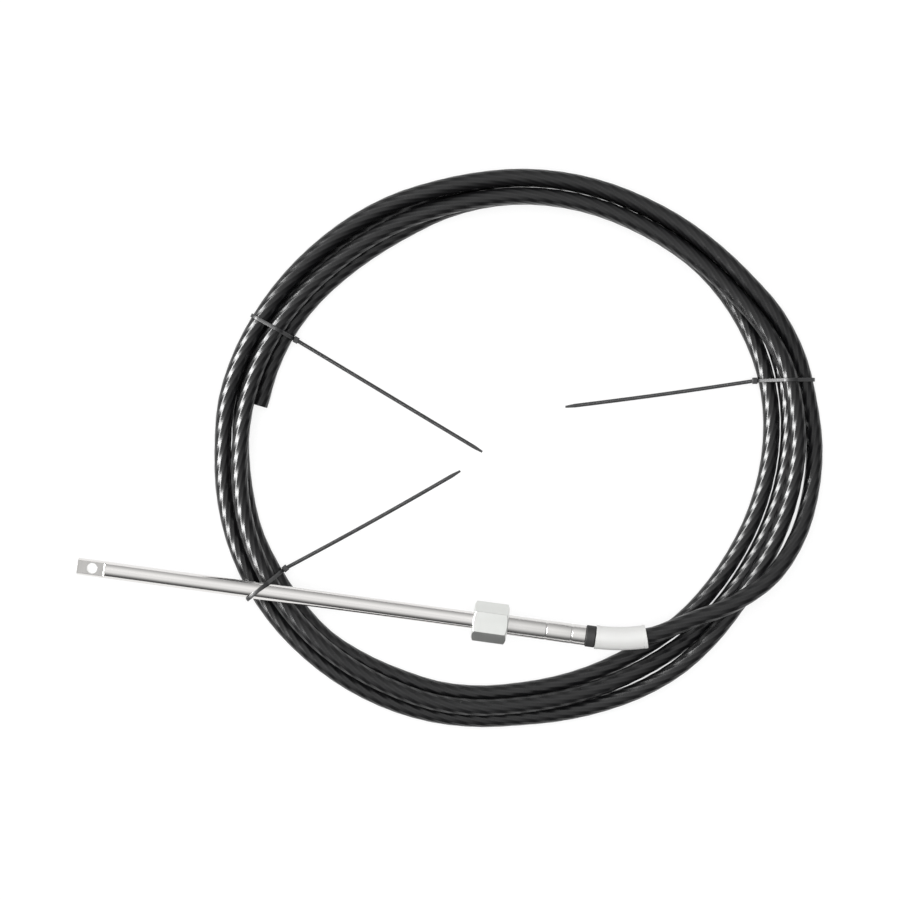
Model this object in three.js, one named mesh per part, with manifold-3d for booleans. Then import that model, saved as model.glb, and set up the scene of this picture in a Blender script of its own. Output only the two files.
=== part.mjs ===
// Boat steering cable, coiled and tied as it is sold, lying flat on a level floor.
// Millimetres, +Z up. The cable is laid out round the middle of its coil. The whole is centred at the end.

import * as THREE from "three";
import { mergeVertices } from "three/addons/utils/BufferGeometryUtils.js";
import Module from "manifold-3d";

const wasm = await Module();
wasm.setup();

// Cable jacket and its coil
const CABLE_D = 16;
const STRAND_GAP = 0.4;
const CABLE_SIDES = 10;
const COIL_STEP = 9;
const COIL_START = -54;
const COIL_END = 1251;
const BASE_STEP = 15;

// Clearance between pieces that sit on or in each other
const SEAT_GAP = 0.3;

// Cable ties: the head sits on the inner side of the band, turned up this many degrees, and the tail droops
// with this power of the distance left to its tip
const TIE_WIDTH = 3.6;
const TIE_THICK = 1.2;
const TIE_HEAD = { long: 6.5, wide: 6, high: 4.6 };
const HEAD_TURN = 15;
const TIE_REACH = 60;
const BAND_POINTS = 48;
const TAIL_STEPS = 12;
const TAIL_DROOP = 2;

// White sleeve that guides the cable out of the fitting
const SLEEVE_LENGTH = 48;
const SLEEVE_OD = 22.5;
const SLEEVE_CLEARANCE = 0.5;
const SLEEVE_STEPS = 8;

// End fitting, from the sleeve towards the ram's eye
const FITTING_HEADING = -7.8;
const MOUTH_HEADING = 9;
const MOUTH_X = 119.2;
const MOUTH_Y = -178;
const RING_LENGTH = 9;
const RING_OD = 20.3;
const HUB_OD = 18.8;
const HUB_LENGTH = 84;
const COLLAR_OD = 20.9;
const COLLAR_LENGTH = 4;
const NUT_FLATS = 33;
const NUT_LENGTH = 33;
const NUT_THREAD_D = 21.4;
const NUT_WALL = 6;
const NUT_CHAMFER = 2.2;
const GUIDE_OD = 12;
const GUIDE_BORE = 7;
const GUIDE_SEAT = 60;
const RAM_OD = 15.875;
const RAM_LENGTH = 397;
const STROKE = 228.6;
const RAM_OVERLAP = 60;
const RAM_CLEARANCE = 0.3;
const EYE_FROM_TIP = 14;
const EYE_BORE = 9.9;
const EYE_FLAT_LENGTH = 25;
const EYE_THICK = 10;
const EDGE = 0.8;

// How finely round things are cut, and how close two corners are when they are one
const ROUND_SIDES = 32;
const HEXAGON_SIDES = 6;
const WELD = 1e-4;

// How high the strands lie that the ram rests on, in strand pitches above those on the floor
const CROSSING_LANE = 0.96;

// What follows from the sizes above: strands on the floor lie on the bands of the ties
const PITCH = CABLE_D + STRAND_GAP;
const FLOOR_STRAND_Z = TIE_THICK + SEAT_GAP + CABLE_D / 2;
const AXIS_Z = FLOOR_STRAND_Z + CROSSING_LANE * PITCH + CABLE_D / 2 + SEAT_GAP + RAM_OD / 2;
const AXIS_LANE = (AXIS_Z - FLOOR_STRAND_Z) / PITCH;

// Radius of the coil's innermost lane every 15 degrees, counter-clockwise from +X
const BASE_RADII = [
  238.9, 243.6, 244.5, 243.6, 239.8, 238.4, 237.4, 235.1, 232.2, 236.0, 243.6, 249.3,
  257.3, 263.5, 260.6, 257.8, 248.3, 241.7, 232.2, 227.0, 224.7, 226.6, 228.5, 233.2,
];

// Where the cable lies in the bundle as it winds inwards: angle in degrees, then how many strand
// pitches it lies outside the innermost lane and above the floor
const LANES = [
  [-54, -0.45, AXIS_LANE], [-45, 0.2, AXIS_LANE], [-38, 1.1, AXIS_LANE], [-34, 1.6, AXIS_LANE],
  [-30, 2.08, 1.88], [-25, 2.42, 1.68], [-20, 2.62, 1.36], [-15, 2.68, 0.98], [-10, 2.68, 0.6],
  [-5, 2.6, 0.28], [0, 2.52, 0.08], [9, 2.22, 0], [18, 2.04, 0.27], [22.5, 1.91, 0.53],
  [27, 1.74, 0.78], [34.5, 1.37, 0.98], [42, 1.12, 1.02], [54, 1.06, 1.02], [90, 1.06, 1.02],
  [105, 1.22, 1.02], [120, 1.72, 0.78], [135, 1.78, 0.72], [150, 1.68, 0.83], [165, 1.75, 0.73],
  [171, 1.68, 0.61], [180, 1.41, 0.35], [195, 1.22, 0.05], [210, 1.35, 0], [225, 1.23, 0], [240, 1.45, 0],
  [255, 1.4, 0], [270, 1.47, 0], [285, 1.73, 0.14], [300, 1.97, 0.52], [310, 1.89, 0.7],
  [320, 1.64, 0.82], [330, 1.6, 0.85], [345, 1.56, 0.86], [360, 1.48, 0.9],
  [369, 1.32, 0.98], [378, 1.12, 1.03], [382.5, 0.94, 1.03], [387, 0.72, 1.03], [394.5, 0.34, 0.99],
  [402, 0.08, 1.02], [414, 0, 1.02], [450, 0, 1.02], [465, 0.1, 1.02], [480, 0.5, 0.92],
  [495, 0.57, 0.93], [510, 0.6, 0.95], [525, 0.64, 0.96], [540, 0.38, 1.02], [555, 0.28, 0.98],
  [570, 0.45, 0.92], [585, 0.4, 0.94], [600, 0.6, 0.84], [615, 0.67, 0.78], [630, 0.73, 0.71],
  [645, 0.81, 0.62], [660, 0.93, 0.41], [670, 1, 0.13], [680, 1.02, 0], [720, 1.02, 0],
  [765, 1.03, 0], [810, 1.05, 0], [840, 1.04, 0], [885, 1.03, 0], [891, 0.82, 0], [900, 0.4, 0],
  [915, 0, 0], [1080, 0, 0], [1236, 0, 0], [1251, -0.19, 0], [1260, -0.4, 0],
];

// Each tie: a point of its band's plane, the band's and the tail's directions, and the tail's length
const TIES = [
  { name: "cable_tie_1", x: -226, y: 109.7, band: -29, tail: -31, length: 206, overRam: false },
  { name: "cable_tie_2", x: -238.6, y: -129.3, band: 39.5, tail: 29.1, length: 190, overRam: true },
  { name: "cable_tie_3", x: 252, y: 63.3, band: 181, tail: 187.8, length: 181, overRam: false },
];

const FULL_TURN = 360;
const QUARTER_TURN = Math.PI / 2;
const radians = THREE.MathUtils.degToRad;

function material(colour, roughness, metalness) {
  return new THREE.MeshStandardMaterial({ color: colour, roughness, metalness });
}

const BLACK_PLASTIC = material(0x1a1a1b, 0.35, 0);
const WHITE_PLASTIC = material(0xe6e6e4, 0.45, 0);
const STAINLESS = material(0xc9c8c5, 0.22, 1);
const PLATED_STEEL = material(0xd4d5d2, 0.35, 1);
const BLACK_RUBBER = material(0x151515, 0.7, 0);
const BLACK_NYLON = material(0x101010, 0.5, 0);

// Solids

function toManifold(geometry) {
  const bare = geometry.clone();
  bare.deleteAttribute("normal");
  bare.deleteAttribute("uv");
  const merged = mergeVertices(bare, WELD);
  const vertProperties = new Float32Array(merged.attributes.position.array);
  const triVerts = new Uint32Array(merged.index.array);
  return new wasm.Manifold(new wasm.Mesh({ numProp: 3, vertProperties, triVerts }));
}

function toGeometry(solid) {
  const mesh = solid.getMesh();
  const geometry = new THREE.BufferGeometry();
  geometry.setAttribute("position", new THREE.BufferAttribute(mesh.vertProperties, 3));
  geometry.setIndex(new THREE.BufferAttribute(mesh.triVerts, 1));
  const faceted = geometry.toNonIndexed();
  faceted.computeVertexNormals();
  return faceted;
}

// A turned solid about the fitting's axis: points are [distance along it, radius], closed on themselves
function turned(points) {
  const profile = points.map(([along, radius]) => new THREE.Vector2(radius, along));
  profile.push(profile[0].clone());
  const geometry = new THREE.LatheGeometry(profile, ROUND_SIDES);
  geometry.rotateZ(-QUARTER_TURN);
  return geometry;
}

// A path that is cut exactly at its own points
class StationCurve extends THREE.CatmullRomCurve3 {
  getUtoTmapping(u) {
    return u;
  }
}

function circleShape(radius, sides) {
  const points = [];
  for (let i = 0; i < sides; i += 1) {
    const angle = (2 * Math.PI * i) / sides;
    points.push(new THREE.Vector2(radius * Math.cos(angle), radius * Math.sin(angle)));
  }
  return new THREE.Shape(points);
}

function sweep(shape, stations) {
  const extrudePath = new StationCurve(stations);
  return new THREE.ExtrudeGeometry(shape, { steps: stations.length - 1, extrudePath, curveSegments: 1 });
}

// The cable's route

// Cubic interpolation through [angle, value, ...] rows, with the slope at each row from its neighbours
function smooth(rows, column, angle) {
  let i = 0;
  while (i < rows.length - 2 && rows[i + 1][0] <= angle) {
    i += 1;
  }
  const slope = (k) => {
    const before = rows[Math.max(k - 1, 0)];
    const after = rows[Math.min(k + 1, rows.length - 1)];
    return (after[column] - before[column]) / (after[0] - before[0]);
  };
  const span = rows[i + 1][0] - rows[i][0];
  const t = (angle - rows[i][0]) / span;
  const start = (1 + 2 * t) * (1 - t) ** 2 * rows[i][column] + t * (1 - t) ** 2 * span * slope(i);
  const end = t ** 2 * (3 - 2 * t) * rows[i + 1][column] + t ** 2 * (t - 1) * span * slope(i + 1);
  return start + end;
}

function baseRows() {
  const rows = [];
  const count = BASE_RADII.length;
  for (let i = -2; i <= count + 2; i += 1) {
    rows.push([i * BASE_STEP, BASE_RADII[(i + count) % count]]);
  }
  return rows;
}

const BASE_ROWS = baseRows();

function coilPoint(angle) {
  const around = THREE.MathUtils.euclideanModulo(angle, FULL_TURN);
  const radius = smooth(BASE_ROWS, 1, around) + smooth(LANES, 1, angle) * PITCH;
  const height = FLOOR_STRAND_Z + Math.max(0, smooth(LANES, 2, angle)) * PITCH;
  const direction = radians(angle);
  return new THREE.Vector3(radius * Math.cos(direction), radius * Math.sin(direction), height);
}

// A point of the sleeve's centreline, by its distance from the fitting: it bends evenly to the mouth
function sleevePoint(distance) {
  const turn = radians(MOUTH_HEADING - FITTING_HEADING);
  const heading = radians(FITTING_HEADING) + (turn * distance) / SLEEVE_LENGTH;
  const end = radians(MOUTH_HEADING);
  const bend = SLEEVE_LENGTH / turn;
  return new THREE.Vector3(
    MOUTH_X + bend * (Math.sin(heading) - Math.sin(end)),
    MOUTH_Y + bend * (Math.cos(end) - Math.cos(heading)),
    AXIS_Z,
  );
}

function sleeveStations() {
  const points = [];
  for (let i = 0; i <= SLEEVE_STEPS; i += 1) {
    points.push(sleevePoint((SLEEVE_LENGTH * i) / SLEEVE_STEPS));
  }
  return points;
}

const FITTING_END = sleevePoint(0);
const UP = new THREE.Vector3(0, 0, 1);
const FITTING_AXIS = new THREE.Vector3(-1, 0, 0).applyAxisAngle(UP, radians(FITTING_HEADING));

function onFittingAxis(distance) {
  return FITTING_END.clone().addScaledVector(FITTING_AXIS, distance);
}

function cableStations() {
  const points = [onFittingAxis(RING_LENGTH + SEAT_GAP)];
  points.push(...sleeveStations());
  for (let angle = COIL_START; angle <= COIL_END; angle += COIL_STEP) {
    points.push(coilPoint(angle));
  }
  return points;
}

const CABLE_STATIONS = cableStations();

function cableJacket() {
  return sweep(circleShape(CABLE_D / 2, CABLE_SIDES), CABLE_STATIONS);
}

function strainReliefSleeve() {
  const section = circleShape(SLEEVE_OD / 2, ROUND_SIDES);
  section.holes.push(circleShape(CABLE_D / 2 + SLEEVE_CLEARANCE, ROUND_SIDES));
  return sweep(section, sleeveStations());
}

// Pieces of the fitting, each by its distance from the sleeve along the axis

const RING_FROM = SEAT_GAP;
const HUB_FROM = RING_FROM + RING_LENGTH + SEAT_GAP;
const HUB_TO = HUB_FROM + HUB_LENGTH;
const NUT_FROM = HUB_TO - NUT_WALL - SEAT_GAP - COLLAR_LENGTH;
const NUT_TO = NUT_FROM + NUT_LENGTH;
const RAM_FROM = HUB_TO + SEAT_GAP;
const RAM_TO = RAM_FROM + RAM_LENGTH;
const GUIDE_FROM = HUB_TO - GUIDE_SEAT;
const GUIDE_TO = RAM_FROM + STROKE + RAM_OVERLAP;

function sealRing() {
  const bore = CABLE_D / 2 + SLEEVE_CLEARANCE;
  const rim = RING_OD / 2;
  return turned([
    [RING_FROM, bore], [RING_FROM, rim - EDGE], [RING_FROM + EDGE, rim],
    [RING_FROM + RING_LENGTH - EDGE, rim], [RING_FROM + RING_LENGTH, rim - EDGE],
    [RING_FROM + RING_LENGTH, bore],
  ]);
}

function hubTube() {
  const bore = GUIDE_OD / 2 + SEAT_GAP;
  const outer = HUB_OD / 2;
  const collar = COLLAR_OD / 2;
  return turned([
    [HUB_FROM, bore], [HUB_FROM, outer - EDGE], [HUB_FROM + EDGE, outer],
    [HUB_TO - COLLAR_LENGTH, outer], [HUB_TO - COLLAR_LENGTH, collar],
    [HUB_TO - EDGE, collar], [HUB_TO, collar - EDGE], [HUB_TO, bore],
  ]);
}

function guideTube() {
  const bore = GUIDE_BORE / 2;
  const outer = GUIDE_OD / 2;
  return turned([
    [GUIDE_FROM, bore], [GUIDE_FROM, outer], [GUIDE_TO - EDGE, outer],
    [GUIDE_TO, outer - EDGE], [GUIDE_TO, bore],
  ]);
}

function couplingNut() {
  const wallBore = HUB_OD / 2 + SEAT_GAP;
  const thread = NUT_THREAD_D / 2;
  const corner = NUT_FLATS / Math.sqrt(3);
  const shoulder = NUT_FROM + NUT_WALL;
  const barrel = turned([
    [NUT_FROM, wallBore], [NUT_FROM, NUT_FLATS / 2 - EDGE], [NUT_FROM + NUT_CHAMFER, corner + EDGE],
    [NUT_TO - NUT_CHAMFER, corner + EDGE], [NUT_TO, NUT_FLATS / 2 - EDGE], [NUT_TO, thread + EDGE],
    [NUT_TO - EDGE, thread], [shoulder, thread], [shoulder, wallBore],
  ]);
  const hexagon = new THREE.CylinderGeometry(corner, corner, NUT_LENGTH + 2 * EDGE, HEXAGON_SIDES);
  hexagon.rotateZ(QUARTER_TURN);
  hexagon.rotateX(QUARTER_TURN);
  hexagon.translate((NUT_FROM + NUT_TO) / 2, 0, 0);
  return toGeometry(toManifold(barrel).intersect(toManifold(hexagon)));
}

function ramBody() {
  const bore = GUIDE_OD / 2 + RAM_CLEARANCE;
  const outer = RAM_OD / 2;
  const depth = GUIDE_TO + RAM_CLEARANCE;
  return turned([
    [depth, 0], [depth, bore], [RAM_FROM, bore], [RAM_FROM, outer - EDGE], [RAM_FROM + EDGE, outer],
    [RAM_TO - EDGE, outer], [RAM_TO, outer - EDGE], [RAM_TO, 0],
  ]);
}

function ram() {
  let solid = toManifold(ramBody());
  const flat = new THREE.BoxGeometry(2 * EYE_FLAT_LENGTH, 2 * RAM_OD, RAM_OD);
  const offset = EYE_THICK / 2 + RAM_OD / 2;
  const hole = new THREE.CylinderGeometry(EYE_BORE / 2, EYE_BORE / 2, 2 * RAM_OD, ROUND_SIDES);
  hole.rotateX(QUARTER_TURN);
  hole.translate(RAM_TO - EYE_FROM_TIP, 0, 0);
  for (const side of [-1, 1]) {
    solid = solid.subtract(toManifold(flat.clone().translate(RAM_TO, 0, side * offset)));
  }
  return toGeometry(solid.subtract(toManifold(hole)));
}

// Cable ties

// The ellipse that a tie's upright plane cuts from a round bar: its place along the plane, its height and its
// half axes, which take in how far a bar that runs aslant moves over the width of the band
function barSection(along, direction, place, height, radius) {
  const square = Math.abs(direction.y * along.x - direction.x * along.y);
  const aslant = Math.abs(direction.x * along.x + direction.y * along.y);
  const half = (radius + (aslant * TIE_WIDTH) / 2) / square;
  const rise = radius + (Math.abs(direction.z) * TIE_WIDTH) / 2 / square;
  return { place, height, half, rise };
}

function bandDirection(tie) {
  const heading = radians(tie.band);
  return new THREE.Vector2(Math.cos(heading), Math.sin(heading));
}

function strandSections(tie) {
  const along = bandDirection(tie);
  const offset = (p) => (p.y - tie.y) * along.x - (p.x - tie.x) * along.y;
  const sections = [];
  for (let i = 1; i < CABLE_STATIONS.length; i += 1) {
    const from = CABLE_STATIONS[i - 1];
    const to = CABLE_STATIONS[i];
    const crossed = offset(from) * offset(to) < 0;
    const at = from.clone().lerp(to, offset(from) / (offset(from) - offset(to)));
    const place = (at.x - tie.x) * along.x + (at.y - tie.y) * along.y;
    if (crossed && Math.abs(place) < TIE_REACH) {
      sections.push(barSection(along, to.clone().sub(from).normalize(), place, at.z, CABLE_D / 2));
    }
  }
  return sections;
}

function ramSection(tie) {
  const along = bandDirection(tie);
  const axis = new THREE.Vector2(FITTING_AXIS.x, FITTING_AXIS.y);
  const fromTie = new THREE.Vector2(FITTING_END.x - tie.x, FITTING_END.y - tie.y);
  const place = fromTie.cross(axis) / along.cross(axis);
  return barSection(along, FITTING_AXIS, place, AXIS_Z, RAM_OD / 2);
}

// The outline that a band drawn tight round the sections takes, this far outside them
function bandOutline(sections, margin) {
  const points = [];
  for (let i = 0; i < BAND_POINTS; i += 1) {
    const angle = (2 * Math.PI * i) / BAND_POINTS;
    const nx = Math.cos(angle);
    const nz = Math.sin(angle);
    let best = -Infinity;
    let point = null;
    for (const s of sections) {
      const half = s.half + margin;
      const rise = s.rise + margin;
      const reach = Math.hypot(half * nx, rise * nz);
      const support = s.place * nx + s.height * nz + reach;
      if (support > best) {
        best = support;
        point = new THREE.Vector2(s.place + (half ** 2 * nx) / reach, s.height + (rise ** 2 * nz) / reach);
      }
    }
    points.push(point);
  }
  return points;
}

// An upright plate: an outline in a vertical plane, extruded to the tie's width about that plane
function uprightPlate(shape, width, x, y, heading) {
  const geometry = new THREE.ExtrudeGeometry(shape, { depth: width, bevelEnabled: false, curveSegments: 1 });
  geometry.translate(0, 0, -width / 2);
  geometry.rotateX(QUARTER_TURN);
  geometry.rotateZ(radians(heading));
  geometry.translate(x, y, 0);
  return geometry;
}

// The tail leaves the head level with it and comes down to lie on the floor at its tip
function tailShape(length, height) {
  const upper = [];
  const lower = [];
  for (let i = 0; i <= TAIL_STEPS; i += 1) {
    const share = i / TAIL_STEPS;
    const middle = TIE_THICK / 2 + (height - TIE_THICK / 2) * (1 - share) ** TAIL_DROOP;
    upper.push(new THREE.Vector2(share * length, middle + TIE_THICK / 2));
    lower.unshift(new THREE.Vector2(share * length, middle - TIE_THICK / 2));
  }
  return new THREE.Shape([...upper, ...lower]);
}

function cableTie(tie) {
  const sections = strandSections(tie);
  if (tie.overRam) {
    sections.push(ramSection(tie));
  }
  const band = new THREE.Shape(bandOutline(sections, SEAT_GAP + TIE_THICK));
  band.holes.push(new THREE.Path(bandOutline(sections, SEAT_GAP)));
  const outline = bandOutline(sections, SEAT_GAP + TIE_THICK / 2);
  const seat = outline[Math.round((BAND_POINTS * HEAD_TURN) / FULL_TURN)];
  const along = bandDirection(tie);
  const headX = tie.x + (seat.x + TIE_HEAD.high / 2) * along.x;
  const headY = tie.y + (seat.x + TIE_HEAD.high / 2) * along.y;
  const head = new THREE.BoxGeometry(TIE_HEAD.high, TIE_HEAD.wide, TIE_HEAD.long);
  head.rotateZ(radians(tie.band));
  head.translate(headX, headY, seat.y);
  const tail = uprightPlate(tailShape(tie.length, seat.y), TIE_WIDTH, headX, headY, tie.tail);
  const loop = uprightPlate(band, TIE_WIDTH, tie.x, tie.y, tie.band);
  return toGeometry(toManifold(loop).add(toManifold(head)).add(toManifold(tail)));
}

// Assembly

const cable = new THREE.Group();

function addPiece(name, geometry, finish, parent = cable) {
  const mesh = new THREE.Mesh(geometry, finish);
  mesh.name = name;
  parent.add(mesh);
  return mesh;
}

const fitting = new THREE.Group();
fitting.position.copy(FITTING_END);
fitting.rotation.z = Math.PI + radians(FITTING_HEADING);
cable.add(fitting);

addPiece("cable_jacket", cableJacket(), BLACK_PLASTIC);
addPiece("strain_relief_sleeve", strainReliefSleeve(), WHITE_PLASTIC);
addPiece("seal_ring", sealRing(), BLACK_RUBBER, fitting);
addPiece("hub_tube", hubTube(), STAINLESS, fitting);
addPiece("guide_tube", guideTube(), STAINLESS, fitting);
addPiece("coupling_nut", couplingNut(), PLATED_STEEL, fitting);
addPiece("ram", ram(), STAINLESS, fitting);
for (const tie of TIES) {
  addPiece(tie.name, cableTie(tie), BLACK_NYLON);
}

// The origin is under the middle of the whole, on the floor
const box = new THREE.Box3().setFromObject(cable, true);
const middle = box.getCenter(new THREE.Vector3());
cable.position.set(-middle.x, -middle.y, -box.min.z);

export default cable;
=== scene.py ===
# %% [markdown]
# # A boat steering cable
# A mechanical steering cable joins the helm of a small boat to its outboard engine. A stiff core slides in
# a jacketed conduit. At the engine the core pushes a steel ram out of a tube, which a large nut holds.
# This one is as it is sold: wound into a coil of nearly four turns, with three ties round the bundle and the
# ram lying across it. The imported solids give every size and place, and this script dresses them.

# %% Load the frame
import bisect
import math

import bmesh
import bpy
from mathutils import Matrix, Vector


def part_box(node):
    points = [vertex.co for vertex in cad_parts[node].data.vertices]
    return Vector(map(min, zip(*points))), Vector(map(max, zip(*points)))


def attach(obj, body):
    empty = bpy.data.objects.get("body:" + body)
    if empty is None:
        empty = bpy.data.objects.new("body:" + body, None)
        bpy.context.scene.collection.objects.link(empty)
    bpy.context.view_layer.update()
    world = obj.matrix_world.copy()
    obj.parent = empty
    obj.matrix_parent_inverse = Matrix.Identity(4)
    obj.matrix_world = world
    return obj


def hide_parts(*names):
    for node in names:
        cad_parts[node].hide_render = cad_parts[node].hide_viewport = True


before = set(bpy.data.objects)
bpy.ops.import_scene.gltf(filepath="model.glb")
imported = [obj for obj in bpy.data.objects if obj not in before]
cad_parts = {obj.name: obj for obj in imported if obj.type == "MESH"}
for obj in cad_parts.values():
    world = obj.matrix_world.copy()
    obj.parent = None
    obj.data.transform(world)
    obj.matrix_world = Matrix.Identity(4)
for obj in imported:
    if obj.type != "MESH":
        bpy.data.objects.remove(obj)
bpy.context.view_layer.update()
MM = 0.001
UP = Vector((0, 0, 1))

# %% [markdown]
# ## The camera
# The coil was seen from straight above, through a long lens, so its strands keep one width all round. The
# lens is long here too, and its distance follows from how many millimetres one pixel of the picture covers.

# %% Camera
PICTURE_PIXELS = 900
MM_PER_PIXEL = 0.946
PICTURE_MIDDLE = Vector((-1.4, -1.3, 20)) * MM
LENS = 135
SENSOR = 36

view_width = PICTURE_PIXELS * MM_PER_PIXEL * MM
camera_data = bpy.data.cameras.new("camera")
camera_data.lens = LENS
camera_data.sensor_width = SENSOR
camera = bpy.data.objects.new("camera", camera_data)
camera.location = PICTURE_MIDDLE + UP * (view_width * LENS / SENSOR)
bpy.context.scene.collection.objects.link(camera)
bpy.context.scene.camera = camera
print(f"The camera sees {view_width:.3f} m from {camera.location.z:.2f} m above the floor")

# %% [markdown]
# ## The route of the cable
# A coil is a circle that drifts: each turn changes its lane in the bundle and climbs over its neighbour. So
# the route is written as the radius of the innermost lane, which is the shape that the whole coil has taken,
# and a list of rows. Each row has an angle, and how many strand pitches the cable is outside that lane and
# above the floor there. A cubic through both lists gives any point. The solid was built from the same lists,
# so both lie alike.

# %% Sizes of the cable and its lanes
CABLE_D = 16 * MM
PITCH = 16.4 * MM
COIL_START, COIL_END, COIL_STEP = -54, 1251, 9
FULL_TURN = 360
TIE_WIDTH, TIE_THICK = 3.6 * MM, 1.2 * MM
SEAT_GAP = 0.3 * MM
RAM_OD = 15.875 * MM
FLOOR_STRAND_Z = TIE_THICK + SEAT_GAP + CABLE_D / 2
CROSSING_LANE = 0.96
AXIS_Z = FLOOR_STRAND_Z + CROSSING_LANE * PITCH + CABLE_D / 2 + SEAT_GAP + RAM_OD / 2
AXIS_LANE = (AXIS_Z - FLOOR_STRAND_Z) / PITCH
BASE_STEP = 15
BASE_SPARE = 2
BASE_RADII = [
    238.9, 243.6, 244.5, 243.6, 239.8, 238.4, 237.4, 235.1, 232.2, 236.0, 243.6, 249.3,
    257.3, 263.5, 260.6, 257.8, 248.3, 241.7, 232.2, 227.0, 224.7, 226.6, 228.5, 233.2,
]
LANES = [
    (-54, -0.45, AXIS_LANE), (-45, 0.2, AXIS_LANE), (-38, 1.1, AXIS_LANE), (-34, 1.6, AXIS_LANE),
    (-30, 2.08, 1.88), (-25, 2.42, 1.68), (-20, 2.62, 1.36), (-15, 2.68, 0.98), (-10, 2.68, 0.6),
    (-5, 2.6, 0.28), (0, 2.52, 0.08), (9, 2.22, 0), (18, 2.04, 0.27), (22.5, 1.91, 0.53),
    (27, 1.74, 0.78), (34.5, 1.37, 0.98), (42, 1.12, 1.02), (54, 1.06, 1.02), (90, 1.06, 1.02),
    (105, 1.22, 1.02), (120, 1.72, 0.78), (135, 1.78, 0.72), (150, 1.68, 0.83), (165, 1.75, 0.73),
    (171, 1.68, 0.61), (180, 1.41, 0.35), (195, 1.22, 0.05), (210, 1.35, 0), (225, 1.23, 0), (240, 1.45, 0),
    (255, 1.4, 0), (270, 1.47, 0), (285, 1.73, 0.14), (300, 1.97, 0.52), (310, 1.89, 0.7),
    (320, 1.64, 0.82), (330, 1.6, 0.85), (345, 1.56, 0.86), (360, 1.48, 0.9),
    (369, 1.32, 0.98), (378, 1.12, 1.03), (382.5, 0.94, 1.03), (387, 0.72, 1.03), (394.5, 0.34, 0.99),
    (402, 0.08, 1.02), (414, 0, 1.02), (450, 0, 1.02), (465, 0.1, 1.02), (480, 0.5, 0.92),
    (495, 0.57, 0.93), (510, 0.6, 0.95), (525, 0.64, 0.96), (540, 0.38, 1.02), (555, 0.28, 0.98),
    (570, 0.45, 0.92), (585, 0.4, 0.94), (600, 0.6, 0.84), (615, 0.67, 0.78), (630, 0.73, 0.71),
    (645, 0.81, 0.62), (660, 0.93, 0.41), (670, 1, 0.13), (680, 1.02, 0), (720, 1.02, 0),
    (765, 1.03, 0), (810, 1.05, 0), (840, 1.04, 0), (885, 1.03, 0), (891, 0.82, 0), (900, 0.4, 0),
    (915, 0, 0), (1080, 0, 0), (1236, 0, 0), (1251, -0.19, 0), (1260, -0.4, 0),
]


def smooth(rows, column, at):
    """Cubic interpolation of rows that start with their place, sloped at each row as its neighbours are."""
    last = len(rows) - 1
    i = min(max(bisect.bisect_right(rows, at, key=lambda row: row[0]) - 1, 0), last - 1)

    def slope(k):
        before, after = rows[max(k - 1, 0)], rows[min(k + 1, last)]
        return (after[column] - before[column]) / (after[0] - before[0])

    span = rows[i + 1][0] - rows[i][0]
    t = (at - rows[i][0]) / span
    start = (1 + 2 * t) * (1 - t) ** 2 * rows[i][column] + t * (1 - t) ** 2 * span * slope(i)
    end = t**2 * (3 - 2 * t) * rows[i + 1][column] + t**2 * (t - 1) * span * slope(i + 1)
    return start + end


around_base = range(-BASE_SPARE, len(BASE_RADII) + BASE_SPARE + 1)
BASE_ROWS = [(i * BASE_STEP, BASE_RADII[i % len(BASE_RADII)] * MM) for i in around_base]


def coil_point(angle):
    """The cable's centre at an angle of its coil, in degrees that go on counting through the turns."""
    radius = smooth(BASE_ROWS, 1, angle % FULL_TURN) + smooth(LANES, 1, angle) * PITCH
    height = FLOOR_STRAND_Z + max(0, smooth(LANES, 2, angle)) * PITCH
    heading = math.radians(angle)
    return Vector((radius * math.cos(heading), radius * math.sin(heading), height))


print(f"The coil has {(COIL_END - COIL_START) / FULL_TURN:.2f} turns")

# %% [markdown]
# ## Where the fitting stands
# The sleeve bends the cable from the fitting's own line into the coil. It is an arc, so its points come from
# the angle it turns through. The lists above are laid out round the middle of the coil, and the frame is
# centred on the whole part. The seal ring is the same from both ends, so the middle of its box is on the
# fitting's axis, and it shows how far the two are apart.

# %% The fitting's line and the sleeve's arc
SLEEVE_LENGTH, SLEEVE_STEPS = 48 * MM, 8
FITTING_HEADING, MOUTH_HEADING = math.radians(-7.8), math.radians(9)
MOUTH = Vector((119.2 * MM, -178 * MM, AXIS_Z))
RING_LENGTH = 9 * MM
FITTING_AXIS = Vector((-math.cos(FITTING_HEADING), -math.sin(FITTING_HEADING), 0))


def sleeve_point(distance):
    """The sleeve's centre line, by the distance from the fitting's end, before the shift."""
    turn = MOUTH_HEADING - FITTING_HEADING
    heading = FITTING_HEADING + turn * distance / SLEEVE_LENGTH
    bend = SLEEVE_LENGTH / turn
    sideways = bend * (math.cos(MOUTH_HEADING) - math.cos(heading))
    return MOUTH + Vector((bend * (math.sin(heading) - math.sin(MOUTH_HEADING)), sideways, 0))


fitting_end = sleeve_point(0)
ring_low, ring_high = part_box("seal_ring")
ring_middle = (ring_low + ring_high) / 2
SHIFT = ring_middle - (fitting_end + FITTING_AXIS * (SEAT_GAP + RING_LENGTH / 2))
SHIFT.z = 0
FITTING_END = fitting_end + SHIFT


def on_axis(distance):
    """The fitting's centre line, by the distance from the sleeve towards the eye."""
    return FITTING_END + FITTING_AXIS * distance


print("The coil's middle is at", [round(x / MM, 2) for x in SHIFT], "mm")

# %% [markdown]
# ## One smooth line, cut into equal steps
# The stations of the sleeve are close together and those of the coil far apart. Their distances along the
# route serve as the places of one more cubic, and equal steps along it keep the twist of the jacket even.
# The very end of the cable is cut square with a slightly broken rim, so a few last stations are thinner.

# %% The stations and the even path
PATH_STEP = 5 * MM
RIM = 0.9 * MM
RIM_STEPS = 4

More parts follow.
